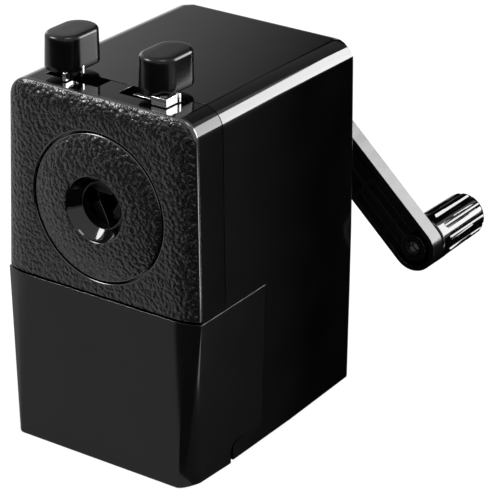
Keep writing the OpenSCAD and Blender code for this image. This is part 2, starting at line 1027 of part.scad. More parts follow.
module knob_pin() {
    head_d = knob_d + knob_l - knob_end_t;
    color(bright_steel)
        crank_frame() {
            bar([arm_back_d - knob_pin_r, head_d + eps], knob_pin_r, crank_r, 0);
            bar([head_d, head_d + 1.4], knob_pin_head_r, crank_r, 0);
        }
}

// Knob that turns on its pin, with a plain collar and fluted sides
module crank_knob() {
    recess_r = knob_pin_head_r + 0.3;
    color(shell_black)
        crank_frame()
            on_axis(knob_d, crank_r, 0)
                difference() {
                    rotate_extrude()
                        polygon(concat(
                            [[knob_pin_r + play, 0], [knob_r - 0.6, 0], [knob_r, 0.6],
                             [knob_r, collar_l]],
                            arc(knob_tip_r - knob_edge, knob_l - knob_edge, knob_edge, knob_edge, 0, 90, 5),
                            [[recess_r, knob_l], [recess_r, knob_l - knob_end_t - eps],
                             [knob_pin_r + play, knob_l - knob_end_t - eps]]));
                    for (i = [0:knob_flutes - 1])
                        rotate((i + 0.5) * 360 / knob_flutes)
                            translate([knob_r + 0.2, 0, flute_start])
                                flute();
                }
}

// A groove along the knob with a round end towards the collar
module flute() {
    cylinder(h = knob_l, r = flute_r);
    sphere(r = flute_r);
}

// ---- cutter ----

// Stands a part on the cutter's axis at depth d with its local Z running back along it
module on_cutter(d) {
    translate([0, d - body_d / 2, axis_z + cutter_h(d)])
        rotate([-90 - cutter_lean, 0, 0])
            children();
}

module axle_bar(r) {
    on_cutter(axle_d)
        cylinder(h = axle_l, r = r);
}

// Cast cage on the crank's shaft that carries the cutter round the pencil
module cutter_cage() {
    color(cast_grey)
        difference() {
            union() {
                bar([cage_d, bearing_d + 1], ring_r);
                bar([bearing_d + gap, cage_flange_d], cage_flange_r);
                block([-cradle_x, cradle_x], [cage_flange_d - eps, cage_disc_d[0] + 1], cradle_z);
                bar(cage_disc_d, cage_disc_r);
                bar([cage_disc_d[1] - eps, cage_end_d], cage_neck_r);
            }
            bar([cage_d - 1, cage_flange_d + 1], cage_bore);
            bar([nose_d, cage_end_d + 1], nose_r);
            axle_bar(axle_r);
        }
}

module helical_cutter() {
    step = 360 / cutter_flutes;
    color(dark_steel)
        on_cutter(cutter_d[0])
            difference() {
                linear_extrude((cutter_d[1] - cutter_d[0]) / cos(cutter_lean), twist = -70,
                               slices = 16)
                    polygon([for (i = [0:cutter_flutes - 1], p = [[0, 0], [0.3, 0], [0.45, 1.1],
                                                                 [0.8, 0.9]])
                        [(cutter_r - p[1]) * cos(step * (i + p[0])),
                         (cutter_r - p[1]) * sin(step * (i + p[0]))]]);
                translate([0, 0, -1])
                    cylinder(h = 40, r = axle_r + play);
            }
}

module cutter_pinion() {
    pitch_r = pinion_teeth * gear_module / 2;
    color(dark_steel)
        on_cutter(gear_d)
            translate([0, 0, -gear_face / 2])
                linear_extrude(gear_face)
                    difference() {
                        union() {
                            circle(r = 3.7);
                            for (i = [0:pinion_teeth - 1])
                                rotate(90 + i * 360 / pinion_teeth)
                                    polygon([[3.2, -0.95], [pitch_r + 0.7, -0.3],
                                             [pitch_r + 0.7, 0.3], [3.2, 0.95]]);
                        }
                        circle(r = axle_r + play);
                    }
}

module cutter_axle() {
    color(bright_steel)
        axle_bar(axle_r);
}

casing();
base_plate();
base_screws();
rubber_pad();
bulkhead();
bulkhead_screws();
rod_bushes();
bearing_housing();
housing_screws();
ring_gear();
rear_bush();
carriage_shell();
front_plate();
port_disc();
jaw_plate();
plate_screws();
guide_rods();
rod_clips();
return_springs();
jaw_pins();
lever_spring();
lever_left();
lever_right();
cap_left();
cap_right();
jaw_top();
jaw_left();
jaw_right();
drawer();
crank_arm();
crank_shaft();
crank_screw();
knob_pin();
crank_knob();
cutter_cage();
helical_cutter();
cutter_pinion();
cutter_axle();
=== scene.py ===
"""Looks for the crank pencil sharpener: smooth moulded pieces, materials, floor, light and camera.

Lengths are in millimetres and are turned into metres by place(). A depth is measured from the flat
front face towards the back, as in the CAD source. X runs to the right and Z up.
"""

import math

import bmesh
import bpy
from mathutils import Matrix, Vector


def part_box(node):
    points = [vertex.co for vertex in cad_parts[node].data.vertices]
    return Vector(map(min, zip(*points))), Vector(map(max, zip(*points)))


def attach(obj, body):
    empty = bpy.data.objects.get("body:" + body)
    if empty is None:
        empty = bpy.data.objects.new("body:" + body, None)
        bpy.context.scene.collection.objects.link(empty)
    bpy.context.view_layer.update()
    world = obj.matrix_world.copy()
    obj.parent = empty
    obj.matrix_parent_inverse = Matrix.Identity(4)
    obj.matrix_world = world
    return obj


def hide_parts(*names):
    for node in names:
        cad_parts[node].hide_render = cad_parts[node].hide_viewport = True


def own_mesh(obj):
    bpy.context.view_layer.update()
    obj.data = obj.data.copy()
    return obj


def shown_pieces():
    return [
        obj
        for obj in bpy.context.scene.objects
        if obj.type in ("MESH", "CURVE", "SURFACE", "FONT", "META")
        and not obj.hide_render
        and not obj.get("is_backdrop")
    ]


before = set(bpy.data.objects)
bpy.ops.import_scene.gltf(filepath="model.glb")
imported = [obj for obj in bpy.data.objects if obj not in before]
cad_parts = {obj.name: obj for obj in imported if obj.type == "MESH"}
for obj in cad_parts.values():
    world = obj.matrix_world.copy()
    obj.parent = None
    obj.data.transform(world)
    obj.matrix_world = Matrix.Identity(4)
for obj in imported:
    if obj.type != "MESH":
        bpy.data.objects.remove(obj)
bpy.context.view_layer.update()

MM = 0.001
HALF_DEPTH = 44.25                   # the origin is this far behind the flat front face


def place(x, depth, z):
    """A point in the row frame, in metres, from millimetres."""
    return Vector((x, depth - HALF_DEPTH, z)) * MM


def span(node, axis):
    """A CAD node's lowest and highest value on an axis (0 x, 1 depth, 2 z), in millimetres."""
    low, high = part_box(node)
    shift = HALF_DEPTH if axis == 1 else 0
    return low[axis] / MM + shift, high[axis] / MM + shift


def middle(node, axis):
    """The middle of a CAD node's box on an axis, in millimetres."""
    low, high = span(node, axis)
    return (low + high) / 2


# ---- camera ----

PHOTO = 495                          # the photograph's side, in pixels
LENS, SENSOR = 175.96, 36            # in millimetres
AIM = Vector((0.02421, -0.00127, 0.06186))
AZIMUTH, ELEVATION, ROLL = 33.82, 24.62, -0.87
DISTANCE = 0.73631                   # from the aim to the camera, in metres
BOSS_BACK = 6.3                      # the arm's boss shows this far before the arm's back


def camera_axes():
    """The camera's place and its right, up and forward directions."""
    a, e = math.radians(AZIMUTH), math.radians(ELEVATION)
    back = Vector((math.sin(a) * math.cos(e), -math.cos(a) * math.cos(e), math.sin(e)))
    right = Vector((math.cos(a), math.sin(a), 0))
    up = back.cross(right)
    c, s = math.cos(math.radians(ROLL)), math.sin(math.radians(ROLL))
    return AIM + back * DISTANCE, right * c - up * s, right * s + up * c, -back


def add_camera():
    """The camera that stands where the photograph was taken from."""
    eye, right, up, forward = camera_axes()
    data = bpy.data.cameras.new("camera")
    data.sensor_fit = "AUTO"
    data.sensor_width = SENSOR
    data.lens = LENS
    data.clip_start, data.clip_end = 0.05, 20
    camera = bpy.data.objects.new("camera", data)
    bpy.context.scene.collection.objects.link(camera)
    camera.matrix_world = Matrix.Translation(eye) @ Matrix((right, up, -forward)).transposed().to_4x4()
    bpy.context.scene.camera = camera
    return camera


camera = add_camera()


def project(point):
    """Where a point shows in the photograph's frame, in pixels."""
    local = camera.matrix_world.inverted() @ point
    scale = camera.data.lens / camera.data.sensor_width * PHOTO / -local.z
    return PHOTO / 2 + local.x * scale, PHOTO / 2 - local.y * scale


# ---- materials ----

def nodes_of(name):
    """A new material, its node tree and its shader."""
    material = bpy.data.materials.new(name)
    material.use_nodes = True
    tree = material.node_tree
    return material, tree, tree.nodes["Principled BSDF"]


def link(tree, out_node, out_name, in_node, in_name):
    """Joins one node's output to another's input."""
    tree.links.new(out_node.outputs[out_name], in_node.inputs[in_name])


def noise(tree, scale, detail=2.0, stretch=(1, 1, 1)):
    """Noise over the object's own coordinates; scale is in features per metre."""
    where = tree.nodes.new("ShaderNodeTexCoord")
    fit = tree.nodes.new("ShaderNodeMapping")
    fit.inputs["Scale"].default_value = stretch
    tex = tree.nodes.new("ShaderNodeTexNoise")
    tex.inputs["Scale"].default_value = scale
    tex.inputs["Detail"].default_value = detail
    link(tree, where, "Object", fit, "Vector")
    link(tree, fit, "Vector", tex, "Vector")
    return tex


def ramp(tree, source, output, low, high, start=0.3, stop=0.7):
    """Maps a texture's value from start..stop to low..high (numbers or colours)."""
    fit = tree.nodes.new("ShaderNodeValToRGB")
    ends = fit.color_ramp.elements
    ends[0].position, ends[1].position = start, stop
    for end, value in zip(ends, (low, high)):
        end.color = (*value, 1) if isinstance(value, tuple) else (value, value, value, 1)
    link(tree, source, output, fit, "Fac")
    return fit


def bump(tree, height, output, distance, strength=1.0, under=None):
    """A bump node; distance is the height of the relief in metres."""
    relief = tree.nodes.new("ShaderNodeBump")
    relief.inputs["Strength"].default_value = strength
    relief.inputs["Distance"].default_value = distance
    link(tree, height, output, relief, "Height")
    if under:
        link(tree, under, "Normal", relief, "Normal")
    return relief


def plastic(name, base, roughness, specular, wave=0.00002, wear=0.06):
    """Moulded black plastic: faint flow waves, fine scuffs in the gloss, and a mottled tone."""
    material, tree, shader = nodes_of(name)
    shader.inputs["Specular IOR Level"].default_value = specular
    tone = noise(tree, 60, 4)
    paler = tuple(c * 1.35 + 0.0006 for c in base)
    link(tree, ramp(tree, tone, "Fac", base, paler), "Color", shader, "Base Color")
    scuffs = noise(tree, 220, 6, (1, 0.35, 1))
    rough = ramp(tree, scuffs, "Fac", roughness, roughness + wear, 0.35, 0.8)
    link(tree, rough, "Color", shader, "Roughness")
    flow = noise(tree, 45, 1)
    link(tree, bump(tree, flow, "Fac", wave), "Normal", shader, "Normal")
    return material


def grained(name, base, roughness, specular, pitch, depth):
    """Plastic with a coarse leather-like grain: rounded pebbles of the given pitch, in metres."""
    material, tree, shader = nodes_of(name)
    shader.inputs["Specular IOR Level"].default_value = specular
    bend = noise(tree, 0.7 / pitch, 2)
    where = tree.nodes.new("ShaderNodeTexCoord")
    bent = tree.nodes.new("ShaderNodeVectorMath")
    bent.operation = "MULTIPLY_ADD"
    bent.inputs[1].default_value = (pitch * 1.1,) * 3
    link(tree, bend, "Color", bent, 0)
    link(tree, where, "Object", bent, 2)
    pebbles = tree.nodes.new("ShaderNodeTexVoronoi")
    pebbles.feature = "SMOOTH_F1"
    pebbles.inputs["Scale"].default_value = 1 / pitch
    pebbles.inputs["Smoothness"].default_value = 0.5
    link(tree, bent, "Vector", pebbles, "Vector")
    hills = ramp(tree, pebbles, "Distance", 1.0, 0.0, 0.1, 0.75)
    fine = noise(tree, 4 / pitch, 2)
    rough = ramp(tree, fine, "Fac", roughness, roughness + 0.12)
    link(tree, rough, "Color", shader, "Roughness")
    # Paler on the pebbles' tops and darker in the valleys between them: painted shade in the grain's
    # hollows.
    paler = tuple(c * 1.6 for c in base)
    link(tree, ramp(tree, hills, "Color", base, paler, 0.1, 0.9), "Color", shader, "Base Color")
    small = bump(tree, fine, "Fac", depth * 0.12)
    link(tree, bump(tree, hills, "Color", depth, under=small), "Normal", shader, "Normal")
    return material


def metal(name, base, roughness, brush=(1, 1, 1), scratch=0.08, relief=0.000008):
    """Metal with fine drawn or ground lines along one axis."""
    material, tree, shader = nodes_of(name)
    shader.inputs["Metallic"].default_value = 1.0
    lines = noise(tree, 900, 5, brush)
    stain = noise(tree, 90, 3)
    darker = tuple(c * 0.82 for c in base)
    link(tree, ramp(tree, stain, "Fac", darker, base), "Color", shader, "Base Color")
    rough = ramp(tree, lines, "Fac", roughness, roughness + scratch)
    link(tree, rough, "Color", shader, "Roughness")
    link(tree, bump(tree, lines, "Fac", relief), "Normal", shader, "Normal")
    return material


def rubber(name):
    """Dull black rubber with a fine rough surface."""
    material, tree, shader = nodes_of(name)
    shader.inputs["Specular IOR Level"].default_value = 0.25
    grain = noise(tree, 1800, 4)
    link(tree, ramp(tree, grain, "Fac", (0.012,) * 3, (0.03,) * 3), "Color", shader, "Base Color")
    link(tree, ramp(tree, grain, "Fac", 0.7, 0.9), "Color", shader, "Roughness")
    link(tree, bump(tree, grain, "Fac", 0.00004), "Normal", shader, "Normal")
    return material


MATERIALS = {
    "gloss_black": plastic("gloss_black", (0.0007, 0.0007, 0.0008), 0.07, 0.42, wear=0.04),
    "cap_black": plastic("cap_black", (0.0014, 0.0014, 0.0015), 0.17, 0.26, wear=0.08),
    # A less reflective copy of gloss_black for the carriage: painted shade that keeps it darker than the
    # casing beside it.
    "carriage_black_shaded": plastic("carriage_black_shaded", (0.0007, 0.0007, 0.0008), 0.07, 0.24, wear=0.04),
    # Paler and far more reflective than gloss_black: a painted highlight along rounded edges, partly wear.
    "edge_wear_and_highlight": plastic("edge_wear_and_highlight", (0.003, 0.003, 0.0032), 0.1, 1.0, wear=0.1),
    "satin_black": plastic("satin_black", (0.002, 0.002, 0.0022), 0.16, 0.3, wave=0.00001),
    "textured_black": grained("textured_black", (0.003,) * 3, 0.2, 0.5, 0.0013, 0.00027),
    "rubber_black": rubber("rubber_black"),
    "bright_steel": metal("bright_steel", (0.82, 0.83, 0.84), 0.1, (1, 1, 0.1)),
    "dark_steel": metal("dark_steel", (0.3, 0.31, 0.33), 0.28),
    # Near-black steel for the jaws: painted shade that keeps the bore behind the mouth dark.
    "black_steel_bore_shade": metal("black_steel_bore_shade", (0.02, 0.02, 0.022), 0.35),
    "cast_grey": metal("cast_grey", (0.42, 0.43, 0.44), 0.5, relief=0.00004),
    "brass": metal("brass", (0.7, 0.52, 0.24), 0.25, (1, 0.1, 1)),
}


def dress(piece, slot):
    """Gives a piece one material."""
    piece.data.materials.clear()
    piece.data.materials.append(MATERIALS[slot])


# ---- mesh helpers ----

def new_piece(name, verts, faces, body, slot, replaced=(), sharp=35, finish=None):
    """A finished piece: smooth-shaded but for its sharp edges, riding on its body."""
    mesh = bpy.data.meshes.new(name)
    mesh.from_pydata([tuple(v) for v in verts], [], faces)
    tidy = bmesh.new()
    tidy.from_mesh(mesh)
    bmesh.ops.remove_doubles(tidy, verts=tidy.verts, dist=1e-7)
    bmesh.ops.recalc_face_normals(tidy, faces=tidy.faces)
    tidy.to_mesh(mesh)
    tidy.free()
    piece = bpy.data.objects.new(name, mesh)
    bpy.context.scene.collection.objects.link(piece)
    mesh.shade_smooth()
    mesh.set_sharp_from_angle(angle=math.radians(sharp))
    dress(piece, finish or slot)
    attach(piece, body)
    if replaced:
        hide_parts(*replaced)
    return piece


def loft(rings, closed=True, start=True, end=True):
    """Vertices and faces of a skin through rings that have the same number of points."""
    n = len(rings[0])
    verts = [p for ring in rings for p in ring]
    faces = []
    for i in range(len(rings) - 1):
        for k in range(n if closed else n - 1):
            a, b = i * n + k, i * n + (k + 1) % n
            faces.append((a, b, b + n, a + n))
    if start:
        faces.append(tuple(range(n))[::-1])
    if end:
        faces.append(tuple(range((len(rings) - 1) * n, len(rings) * n)))
    return verts, faces


def arc(cx, cy, r, a0, a1, n, ry=None):
    """Points of an arc from angle a0 to a1, in degrees."""
    ry = r if ry is None else ry
    turns = [math.radians(a0 + (a1 - a0) * i / n) for i in range(n + 1)]
    return [(cx + r * math.cos(t), cy + ry * math.sin(t)) for t in turns]


def lathe(profile, x, z, n=128):
    """A skin turned about the line along depth through (x, z), from (radius, depth) points."""
    rings = [[place(x + r * math.cos(2 * math.pi * k / n), d, z + r * math.sin(2 * math.pi * k / n))
              for k in range(n)] for r, d in profile]
    return loft(rings + rings[:1], start=False, end=False)


def polish(piece, finish, test):
    """Gives the faces whose middle, in millimetres along x, depth and z, passes a test another finish."""
    piece.data.materials.append(MATERIALS[finish])
    for face in piece.data.polygons:
        x, y, z = face.center / MM
        if test(x, y + HALF_DEPTH, z):
            face.material_index = len(piece.data.materials) - 1


def soften(node, width, angle=30, segments=2):
    """Rounds a CAD node's edges a little and gives it clean shading; its own mesh stays.

    The faces of a CAD mesh lie side by side unjoined, so they are joined before the edges are rounded.
    The rounded edges take the second material; on black plastic that is a paler, more reflective edge
    finish, a painted highlight that is partly wear.
    """
    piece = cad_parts[node]
    piece.data.shade_smooth()
    joined = piece.modifiers.new("join_faces", "WELD")
    joined.merge_threshold = 0.000002
    flat = piece.modifiers.new("merge_flats", "DECIMATE")
    flat.decimate_type = "DISSOLVE"
    flat.angle_limit = math.radians(1)
    edge = piece.modifiers.new("edge", "BEVEL")
    edge.width = width * MM
    edge.segments = segments
    edge.limit_method = "ANGLE"
    edge.angle_limit = math.radians(angle)
    edge.use_clamp_overlap = True
    edge.harden_normals = False
    edge.material = 1
    normals = piece.modifiers.new("normals", "WEIGHTED_NORMAL")
    normals.keep_sharp = False
    normals.weight = 50


# ---- the body: CAD shells, with softened edges ----

for node, slot, width in (
        # The carriage shell's less reflective black is painted shade.
        ("casing", "gloss_black", 0.35), ("carriage_shell", "carriage_black_shaded", 0.3),
        ("drawer", "satin_black", 0.9), ("base_plate", "satin_black", 0.3),
        ("bulkhead", "satin_black", 0.3), ("bearing_housing", "satin_black", 0.4),
        ("crank_arm", "satin_black", 0.3), ("lever_left", "bright_steel", 0.12),
        ("lever_right", "bright_steel", 0.12), ("jaw_plate", "bright_steel", 0.15),
        ("rubber_pad", "rubber_black", 0.3), ("base_screws", "dark_steel", 0.2),
        ("bulkhead_screws", "dark_steel", 0.2), ("plate_screws", "dark_steel", 0.15),
        ("rod_bushes", "brass", 0.15), ("rear_bush", "brass", 0.2), ("ring_gear", "dark_steel", 0.12),
        ("guide_rods", "bright_steel", 0.3), ("rod_clips", "dark_steel", 0.15),
        # The jaws' near-black steel is painted shade in the bore.
        ("jaw_pins", "bright_steel", 0.1), ("jaw_top", "black_steel_bore_shade", 0.2),
        ("jaw_left", "black_steel_bore_shade", 0.2), ("jaw_right", "black_steel_bore_shade", 0.2),
        ("crank_shaft", "bright_steel", 0.2), ("knob_pin", "bright_steel", 0.3),
        ("cutter_cage", "cast_grey", 0.4), ("helical_cutter", "dark_steel", 0.0),
        ("cutter_pinion", "dark_steel", 0.1), ("cutter_axle", "bright_steel", 0.2)):
    dress(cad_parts[node], slot)
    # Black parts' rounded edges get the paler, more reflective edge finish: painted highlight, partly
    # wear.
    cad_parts[node].data.materials.append(MATERIALS["edge_wear_and_highlight" if "black" in slot else slot])
    if width:
        soften(node, width)


# ---- front plate ----

TOP_R, TAPER = 6.5, 1.8              # the body's long rounded edges, and how far its sides lean in
CROWN_W, CROWN_D = 9, 2.8            # the plate's face curves back over this width, by this depth
CROWN_TOP = 0.8                      # share of that width along the top
RIM_TURN = 72                        # from here on, in degrees round the crown, the rim is glossy
DISC_R, GROOVE_R = 23.15, 23.7       # the groove round the disc runs between these
GROOVE_EDGE = 0.5                    # the small radius along both sides of the groove
DRAWER_GAP = 0.6                     # the shadow line between the plate and the drawer

plate_half, plate_top = span("front_plate", 0)[1], span("front_plate", 2)[1]
plate_low = span("front_plate", 2)[0] + DRAWER_GAP
plate_rear = span("front_plate", 1)[1]
axis_z = middle("port_disc", 2)


def plate_outline(inset):
    """The plate's outline moved in by inset, anticlockwise from its lower right corner."""
    lean = TAPER * (plate_top - TOP_R - plate_low) / (plate_top - plate_low)
    bottom, top = plate_half - inset, plate_half - lean - inset
    corner_z = plate_top - TOP_R - inset * CROWN_TOP
    side = [(bottom + (top - bottom) * i / 24, plate_low + (corner_z - plate_low) * i / 24)
            for i in range(24)]
    corner = arc(top - TOP_R, corner_z, TOP_R, 0, 90, 16)
    over = [((top - TOP_R) * (1 - i / 16), corner_z + TOP_R) for i in range(1, 17)]
    right = side + corner + over
    left = [(-x, z) for x, z in reversed(right[:-1])]
    below = [(-bottom * (1 - i / 16), plate_low) for i in range(1, 32)]
    return right + left + below


def plate_ring(inset, depth):
    return [place(x, depth, z) for x, z in plate_outline(inset)]


def crown_ring(turn):
    """The plate's outline at an angle round its crown: 0 is the flat face, 90 the edge."""
    t = math.radians(turn)
    return plate_ring(CROWN_W * (1 - math.sin(t)), CROWN_D * (1 - math.cos(t)))


def front_plate():
    """The grained face, from the groove round the disc out to the start of the glossy rim."""
    hole_r, fillet = GROOVE_R, GROOVE_EDGE
    turns = [math.atan2(z - axis_z, x) for x, z in plate_outline(0)]

    def hole(r, depth):
        return [place(r * math.cos(t), depth, axis_z + r * math.sin(t)) for t in turns]

    rings = [hole(hole_r, plate_rear), hole(hole_r, fillet)]
    rings += [hole(hole_r + r, fillet - d) for r, d in arc(fillet, 0, fillet, 180, 90, 5)]
    inner, rim = rings[-1], crown_ring(0)
    rings += [[a.lerp(b, i / 6) for a, b in zip(inner, rim)] for i in range(1, 6)]
    rings += [crown_ring(RIM_TURN * i / 12) for i in range(13)]
    back = CROWN_W * (1 - math.sin(math.radians(RIM_TURN)))
    rings += [plate_ring(back, plate_rear), hole(hole_r, plate_rear)]
    return loft(rings, start=False, end=False)


def plate_rim():
    """The smooth edge round the grained face, all in the paler, more reflective edge finish: a painted
    highlight, partly wear.
    """
    turns = [RIM_TURN + (90 - RIM_TURN) * i / 8 for i in range(9)]
    back = CROWN_W * (1 - math.sin(math.radians(RIM_TURN)))
    rings = [plate_ring(back, plate_rear)] + [crown_ring(t) for t in turns] + [plate_ring(0, plate_rear)]
    return loft(rings + rings[:1], start=False, end=False)


plate = new_piece("front_plate_grained", *front_plate(), "carriage", "textured_black", ["front_plate"], 40)
# The groove's edges take the edge finish: painted highlight, partly wear.
polish(plate, "edge_wear_and_highlight", lambda x, d, z: math.hypot(x, z - axis_z) < GROOVE_R + GROOVE_EDGE)
new_piece("front_plate_rim", *plate_rim(), "carriage", "gloss_black", sharp=50, finish="edge_wear_and_highlight")


# ---- drawer's outer skin ----

# Half width, depth of the flat front, and width and depth of the crown, at the drawer's foot and top
FOOT = {"half": 33.85, "front": -1.2, "crown_w": 4.2, "crown_d": 6.2}
HEAD = {"half": 35.85, "front": 0.0, "crown_w": 9.3, "crown_d": 2.3}
HEEL, PANEL_REAR = 20.3, 36.4        # how far back the side panel reaches below and above the sill
SILL_Z, HEEL_R = 7.9, 3.0            # height of that step, and its radius
SKIN, SKIN_EDGE = 0.9, 0.45          # the skin's thickness and the radius of its top edge
CORNER_CUT = 0.35                    # how far the upright front edge is cut back
TOE_R, TOE_IN = 0.3, 0.2             # the foot's radius, and how far in its lowest edge lies
PANEL_SINK, PANEL_FLARE = 0.2, 0.15  # how far inside the casing's side it ends, and how much less on top
CREASE = 0.1                         # slope at which the crown starts
LEVEL_STEP, LEVEL_PART = 9.9, 0.02   # degrees between levels round the step, and how far halves part
drawer_low, drawer_top = span("drawer", 2)


def panel_rear(z):
    """How far back the drawer's side panel reaches at a height: it steps in above the sill."""
    if z <= SILL_Z - HEEL_R:
        return HEEL
    if z >= SILL_Z + HEEL_R:
        return PANEL_REAR
    side = math.sqrt(max(0, HEEL_R ** 2 - (HEEL_R - abs(z - SILL_Z)) ** 2))
    return HEEL + HEEL_R - side if z < SILL_Z else PANEL_REAR - HEEL_R + side


def offset(points, inset):
    """Moves a path's points inward (towards its left) by inset, and its end back by inset."""
    moved = []
    for i, (x, d) in enumerate(points):
        ax, ad = points[max(i - 1, 0)]
        bx, bd = points[min(i + 1, len(points) - 1)]
        length = math.hypot(bx - ax, bd - ad) or 1
        moved.append((x - (bd - ad) / length * inset, d + (bx - ax) / length * inset))
    x, d = moved[-1]
    moved[-1] = (x, d - inset)
    return moved


def rounded(before, corner, after, cut, n):
    """Points of a small curve that replaces a corner, from cut before it to cut after it."""
    ends = []
    for other in (before, after):
        dx, dd = other[0] - corner[0], other[1] - corner[1]
        share = cut / math.hypot(dx, dd)
        ends.append((corner[0] + dx * share, corner[1] + dd * share))
    (ax, ad), (bx, bd) = ends
    shares = [i / n for i in range(n + 1)]
    return [((1 - t) ** 2 * ax + 2 * t * (1 - t) * corner[0] + t * t * bx,
             (1 - t) ** 2 * ad + 2 * t * (1 - t) * corner[1] + t * t * bd) for t in shares]


def drawer_section(z, inset):
    """Right half of the drawer's outline at a height, from its middle round to its side's rear edge."""
    share = (z - drawer_low) / (drawer_top - drawer_low)
    half, front, width, deep = (FOOT[k] + (HEAD[k] - FOOT[k]) * share
                                for k in ("half", "front", "crown_w", "crown_d"))
    start = min(1, CREASE * width / deep)
    up = min(1, (z - drawer_low) / TOE_R)
    half -= TOE_R * (1 - math.sqrt(1 - (1 - up) ** 2))
    points = [((half - width) * i / 12, front) for i in range(12)]
    for i in range(17):
        u = i / 16
        points.append((half - width * (1 - u), front + deep * (start * u + (1 - start) * u * u)))
    corner = points.pop()
    rear_x = span("casing", 0)[1] - PANEL_SINK + PANEL_FLARE * share
    rear = panel_rear(z)
    lean = (rear_x - corner[0]) / (PANEL_REAR - corner[1])
    side = [(corner[0] + lean * (rear - corner[1]) * i / 20, corner[1] + (rear - corner[1]) * i / 20)
            for i in range(1, 21)]
    points += rounded(points[-1], corner, side[0], CORNER_CUT, 6) + side
    return offset(points, inset)


def drawer_skin():
    """A thin moulded skin round the drawer's front and side panels."""
    edge = arc(0, 0, SKIN_EDGE, 0, 90, 4)
    sole = drawer_low + TOE_R
    levels = [(drawer_low, TOE_IN)]
    levels += [(sole - TOE_R * math.cos(math.radians(10 * i)), 0) for i in range(1, 10)]
    steps = [sole + (drawer_top - SKIN_EDGE - sole) * i / 30 for i in range(1, 30)]
    steps += [SILL_Z + side * (HEEL_R * math.cos(math.radians(LEVEL_STEP * i)) + LEVEL_PART)
              for side in (-1, 1) for i in range(10)]
    levels += [(z, 0) for z in sorted(steps)]
    levels += [(drawer_top - SKIN_EDGE + z, SKIN_EDGE - r) for r, z in edge]
    rings = []
    for z, inset in levels:
        outer = drawer_section(z, inset)
        inner = drawer_section(z, SKIN)
        mirrored = [(-x, d) for x, d in reversed(outer[1:])]
        whole = mirrored + outer + list(reversed(inner)) + [(-x, d) for x, d in inner[1:]]
        rings.append([place(x, d, z) for x, d in whole])
    return loft(rings)


skin = new_piece("drawer_skin_moulded", *drawer_skin(), "drawer", "satin_black", sharp=25)
# The drawer's rounded top edge takes the edge finish: painted highlight, partly wear.
polish(skin, "edge_wear_and_highlight", lambda x, d, z: z > drawer_top - SKIN_EDGE)


# ---- port disc ----

MOUTH_R, PORT_R = 10.0, 6.8          # the funnel's radius at the face and at its bottom
RIM_R, LIP_R = 26.0, 0.9             # the disc's hidden rim, and the rounding of the mouth
FUNNEL_D, STEP_W = 2.2, 0.5          # the funnel's depth, and the width of the flat step at its bottom
BORE_LIP_W, BORE_LIP_H = 0.15, 0.1   # the small raised lip round the bore
SHINE_R = 10.4                       # the disc is glossy inside this radius
SINK = 0.1                           # the disc's edge lies this far behind the flat of the plate
disc_front, disc_rear = span("port_disc", 1)


def disc_profile():
    """(radius, depth) points from the rim behind the plate, over the dome, down the funnel."""
    proud, edge_r = -disc_front, GROOVE_EDGE
    edge = [(DISC_R - edge_r + r, SINK + edge_r - d) for r, d in arc(0, 0, edge_r, 0, 80, 6)]
    start, inner = DISC_R - edge_r, MOUTH_R + LIP_R
    steps = [start + (inner - start) * i / 16 for i in range(1, 17)]
    dome = [(r, -proud * (1 - ((r - MOUTH_R) / (DISC_R - MOUTH_R)) ** 2)) for r in steps]
    lip = [(inner - LIP_R * math.sin(math.radians(a)), -proud + LIP_R * (1 - math.cos(math.radians(a))))
           for a in range(0, 76, 15)]
    top_r, top_d = lip[-1]
    low_r, low_d = PORT_R + STEP_W, FUNNEL_D
    funnel = [(top_r + (low_r - top_r) * i / 10, top_d + (low_d - top_d) * (i / 10) ** 0.9)
              for i in range(1, 11)]
    funnel += [(PORT_R + BORE_LIP_W * i, low_d - BORE_LIP_H + BORE_LIP_H * i) for i in (1, 0)]
    rear = [(PORT_R, disc_rear), (RIM_R, disc_rear), (RIM_R, plate_rear), (DISC_R, plate_rear)]
    return rear[2:] + edge + dome + lip + funnel + rear[:2]


disc = new_piece("port_disc_domed", *lathe(disc_profile(), 0, axis_z), "carriage", "textured_black",
                 ["port_disc"], 40)
# The disc's edge by the groove takes the edge finish: painted highlight, partly wear.
polish(disc, "edge_wear_and_highlight", lambda x, d, z: math.hypot(x, z - axis_z) > DISC_R - GROOVE_EDGE)
polish(disc, "gloss_black", lambda x, d, z: math.hypot(x, z - axis_z) < SHINE_R)


# ---- finger caps ----

CAP_EDGE, CAP_FOOT = 1.3, 0.5        # radii of the top and the bottom edge
CAP_DRAFT, CAP_FLAT = 0.25, 0.6      # how far the sides lean in, and where the flat top starts


def cap(node):
    """A cap with rounded ends and a rounded top edge, in its CAD node's box."""
    x, half_w = middle(node, 0), (span(node, 0)[1] - span(node, 0)[0]) / 2
    depth, half_l = middle(node, 1), (span(node, 1)[1] - span(node, 1)[0]) / 2
    low, top = span(node, 2)

    def ring(inset, z):
        r = half_w - inset
        ends = arc(0, half_w - half_l, r, 180, 360, 40) + arc(0, half_l - half_w, r, 0, 180, 40)
        return [place(x + u, depth + v, z) for u, v in ends]

    start, cut = low + CAP_FOOT, CAP_FOOT * 0.3
    rings = [ring(CAP_FOOT, low), ring(cut, low + cut), ring(0, start)]
    rings += [ring(CAP_DRAFT * i / 6, start + (top - CAP_EDGE - start) * i / 6) for i in range(1, 6)]
    rings += [ring(CAP_DRAFT + CAP_EDGE - r, top - CAP_EDGE + z) for r, z in arc(0, 0, CAP_EDGE, 0, 90, 8)]
    rings += [ring(half_w * CAP_FLAT, top)]
    return loft(rings)


new_piece("cap_left_moulded", *cap("cap_left"), "left_lever", "gloss_black", ["cap_left"], 30, "cap_black")
new_piece("cap_right_moulded", *cap("cap_right"), "right_lever", "gloss_black", ["cap_right"], 30,
          "cap_black")


# ---- knob ----

